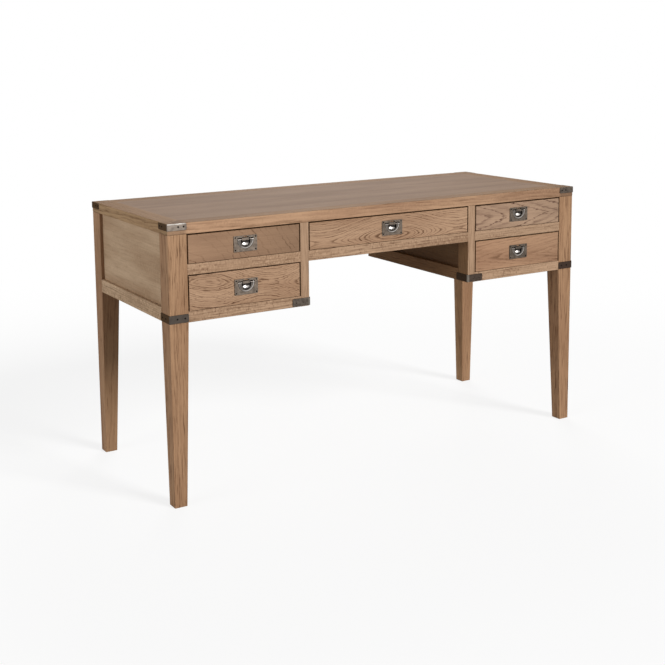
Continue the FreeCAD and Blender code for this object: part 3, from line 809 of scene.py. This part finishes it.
def front_cuts():
    """The cuts of the five drawer fronts, each with a figure of its own."""
    # The fronts' ends and their top and bottom faces take darker tones: partly end grain, partly
    # painted shade in the gaps round the fronts. Several fronts also darken towards their right end:
    # painted shade.
    ends = ("gap_shade_end_grain", "X")
    gap_shaded_edges = (ends, ("gap_shade_end_grain", "Z"))
    lighter_gap_shaded_edges = (ends, ("inner_shade", "Z"))
    front = Grain(tone="front", pith_depth=0.0, ring=0.005, contrast=0.95, dash=0.15,
                  turned=gap_shaded_edges)
    strokes = replace(front, tone="umber_front", pith_across=-0.5, swell=0.917, eye=-0.28,
                      reach=1.8, ring=0.036, wander=0.03, ragged=0.03, line=0.22, contrast=0.8,
                      patchy=0.7, dash=0.05, shade_falloff=0.9)
    slanting_eye = replace(front, pith_across=0.0137, swell=0.030, eye=-0.101, reach=0.33,
                           ring=0.0042, wander=0.04, ragged=1.4, line=0.6, contrast=1.1,
                           tilt=0.108, turned=(ends,))
    long_eye = replace(front, pith_across=-0.021, swell=0.038, eye=0.005, reach=0.47,
                       ring=0.0040, ragged=0.6, line=0.55, contrast=1.15, turned=lighter_gap_shaded_edges)
    pointed_arches = replace(front, tone="grey_front", pith_across=-0.001, pith_depth=-0.006,
                             taper=0.29, ring=0.020, wander=0.02, ragged=0.9, line=0.45,
                             contrast=1.2, shade_falloff=0.6)
    soft_arches = replace(front, tone="russet_front", pith_across=-0.012, taper=-0.12, ring=0.009,
                          wander=0.03, ragged=0.9, contrast=0.6, patchy=0.5, turned=lighter_gap_shaded_edges,
                          shade_falloff=0.6)
    return {
        "left_upper_drawer_front": replace(strokes, seed=46.5),
        "left_lower_drawer_front": replace(slanting_eye, seed=36.4),
        "centre_drawer_front": replace(long_eye, seed=36.1),
        "right_upper_drawer_front": replace(pointed_arches, seed=40.4),
        "right_lower_drawer_front": replace(soft_arches, seed=41.2),
    }


def box_cuts():
    """The cuts of the runners, the stops and the drawer boxes."""
    plain = Grain(along="y", tone="box", pith_across=0.12, ring=0.008, contrast=0.3)
    cuts = {
        "drawer_runners": replace(plain, paired=True, seed=18.1),
        "drawer_stops": replace(plain, paired=True, seed=19.7),
    }
    for index, drawer in enumerate(DRAWERS):
        seed = BOX_SEED + BOX_DRAWER_STEP * index
        back = replace(plain, along="x", seed=seed + BOX_PIECE_STEP)
        bottom = replace(plain, along="x", across="y", seed=seed + 2 * BOX_PIECE_STEP)
        cuts[f"{drawer}_drawer_sides"] = replace(plain, paired=drawer == "centre", seed=seed)
        cuts[f"{drawer}_drawer_back"] = back
        cuts[f"{drawer}_drawer_bottom"] = bottom
    return cuts


def dress(node, material):
    """Gives a CAD node one material on all its slots."""
    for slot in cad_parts[node].material_slots:
        slot.material = material


def dress_wood():
    """Oak on every wooden node."""
    cuts = {**case_cuts(), **top_cuts(), **front_cuts(), **box_cuts()}
    for node, grain in cuts.items():
        dress(node, oak_material(node, grain))


def dress_straps():
    """Dark straps, darker round the left legs, with painted shade on their faces that look along the
    width and towards the right end, painted highlights on one front arm, its top edge and the kneehole
    corners, and blackened screws.
    """
    shade = (shaded_sides, PATCH_TONES["shaded_sides"])
    lower_patches = (
        (left_legs, PATCH_TONES["left_legs"]),
        shade,
        (shaded_right_end, PATCH_TONES["shaded_right_end"]),
        (deep_shaded_right_sides, PATCH_TONES["deep_shaded_right_sides"]),
        (corner_highlight, PATCH_TONES["corner_highlight"]),
    )
    top_patches = (
        shade,
        (arm_highlight, PATCH_TONES["arm_highlight"]),
        (arm_edge_highlight, PATCH_TONES["arm_edge_highlight"]),
    )
    screw_patches = ((kneehole_side, PATCH_TONES["kneehole_screws"]),)
    dress("lower_corner_brackets", metal_material("lower_strap", IRON, lower_patches))
    dress("top_corner_brackets", metal_material("top_strap", IRON, top_patches))
    dress("bracket_screws", metal_material("strap_screw", BLACK_STEEL, screw_patches))


def dress_pulls():
    """Pewter pulls, dimmed towards the right end as painted shade, with painted shade in the recess,
    painted highlights in the bowl and on the bail rim, and blackened screws.
    """
    screw = metal_material("screw_metal", BLACK_STEEL)
    for drawer, shine in DRAWERS.items():
        # the pewter dimmed by the drawer's share: painted shade towards the right end
        pewter = replace(PEWTER, dark=dimmed(PEWTER.dark, shine),
                         light=dimmed(PEWTER.light, shine), worn=dimmed(PEWTER.worn, shine))
        patches = pull_patches(drawer, dimmed(PATCH_TONES["bowl_highlight_tone"], shine))
        dress(f"{drawer}_pull_plate", metal_material(f"{drawer}_plate_metal", pewter, patches))
        bail = metal_material(f"{drawer}_bail_metal", BAIL_METAL, rim_highlight(drawer))
        dress(f"{drawer}_pull_bail", bail)
        dress(f"{drawer}_pull_screws", screw)


def seen_directly(tree):
    """1 for what the camera sees, straight or in metal or glass, and 0 for light on surfaces."""
    path = make_node(tree, "ShaderNodeLightPath").outputs
    seen = calc(tree, "MAXIMUM", path["Is Camera Ray"], path["Is Glossy Ray"])
    return calc(tree, "MAXIMUM", seen, path["Is Transmission Ray"])


def mix_shaders(tree, factor, first, second):
    """Two shaders mixed by a factor."""
    inputs = {0: factor, 1: first.outputs[0], 2: second.outputs[0]}
    return make_node(tree, "ShaderNodeMixShader", inputs)


def make_world():
    """A soft even sky that shows as plain white."""
    world = bpy.data.worlds.new("studio")
    bpy.context.scene.world = world
    world.use_nodes = True
    tree = world.node_tree
    tree.nodes.clear()
    light = make_node(tree, "ShaderNodeBackground", {"Color": WHITE, "Strength": SKY_SHARE})
    shown = make_node(tree, "ShaderNodeBackground", {"Color": WHITE, "Strength": 1.0})
    either = mix_shaders(tree, seen_directly(tree), light, shown)
    make_node(tree, "ShaderNodeOutputWorld", {"Surface": either.outputs[0]})


def floor_material():
    """Pale paint that keeps the desk's soft shadow and fades to white further out."""
    material = bpy.data.materials.new("floor")
    material.use_nodes = True
    tree = material.node_tree
    tree.nodes.clear()
    bounce = make_node(tree, "ShaderNodeBsdfDiffuse", {"Color": FLOOR_BOUNCE})
    paint = make_node(tree, "ShaderNodeBsdfDiffuse", {"Color": FLOOR_PAINT})
    white = make_node(tree, "ShaderNodeEmission", {"Color": WHITE, "Strength": 1.0})
    distance = length_of(tree, make_node(tree, "ShaderNodeTexCoord").outputs["Object"])
    shown = mix_shaders(tree, spread(tree, distance, *FLOOR_FADE, FLOOR_WHITE, 1.0), paint, white)
    either = mix_shaders(tree, seen_directly(tree), bounce, shown)
    make_node(tree, "ShaderNodeOutputMaterial", {"Surface": either.outputs[0]})
    return material


def make_floor():
    """A wide square of floor under the desk."""
    half = FLOOR_SIZE / 2
    corners = [(-half, -half, 0), (half, -half, 0), (half, half, 0), (-half, half, 0)]
    mesh = bpy.data.meshes.new("floor")
    mesh.from_pydata(corners, [], [(0, 1, 2, 3)])
    mesh.materials.append(floor_material())
    floor = bpy.data.objects.new("floor", mesh)
    bpy.context.scene.collection.objects.link(floor)


def make_lamps():
    """Large soft lamps, aimed at the desk, each with the power that gives its share there."""
    for name, lamp in LAMPS.items():
        data = bpy.data.lights.new(name, "AREA")
        data.size = lamp["size"]
        place = Vector(lamp["place"])
        aim = LAMP_AIM - place
        data.energy = lamp["share"] * math.pi ** 2 * aim.length_squared
        thing = bpy.data.objects.new(name, data)
        thing.location = place
        thing.rotation_euler = aim.to_track_quat("-Z", "Y").to_euler()
        bpy.context.scene.collection.objects.link(thing)


def make_camera():
    """The photograph's viewpoint."""
    level_share = math.cos(PITCH)
    forward = Vector((math.sin(YAW) * level_share, math.cos(YAW) * level_share, -math.sin(PITCH)))
    level = Vector((math.cos(YAW), -math.sin(YAW), 0.0))
    down = forward.cross(level)
    right = level * math.cos(ROLL) + down * math.sin(ROLL)
    up = level * math.sin(ROLL) - down * math.cos(ROLL)
    data = bpy.data.cameras.new("camera")
    data.sensor_width = SENSOR_WIDTH
    data.lens = FOCAL_PIXELS / PHOTO_SIDE * SENSOR_WIDTH
    data.shift_x = (PHOTO_SIDE / 2 - CENTRE_PIXEL[0]) / PHOTO_SIDE
    data.shift_y = (CENTRE_PIXEL[1] - PHOTO_SIDE / 2) / PHOTO_SIDE
    camera = bpy.data.objects.new("camera", data)
    turn = Matrix((right, up, -forward)).transposed().to_4x4()
    camera.matrix_world = Matrix.Translation(EYE) @ turn
    bpy.context.scene.collection.objects.link(camera)
    bpy.context.scene.camera = camera


OAK = oak_group()
EDGE = edge_group()
dress_wood()
dress_straps()
dress_pulls()
make_world()
make_floor()
make_lamps()
make_camera()
bpy.context.scene.view_settings.view_transform = "Standard"
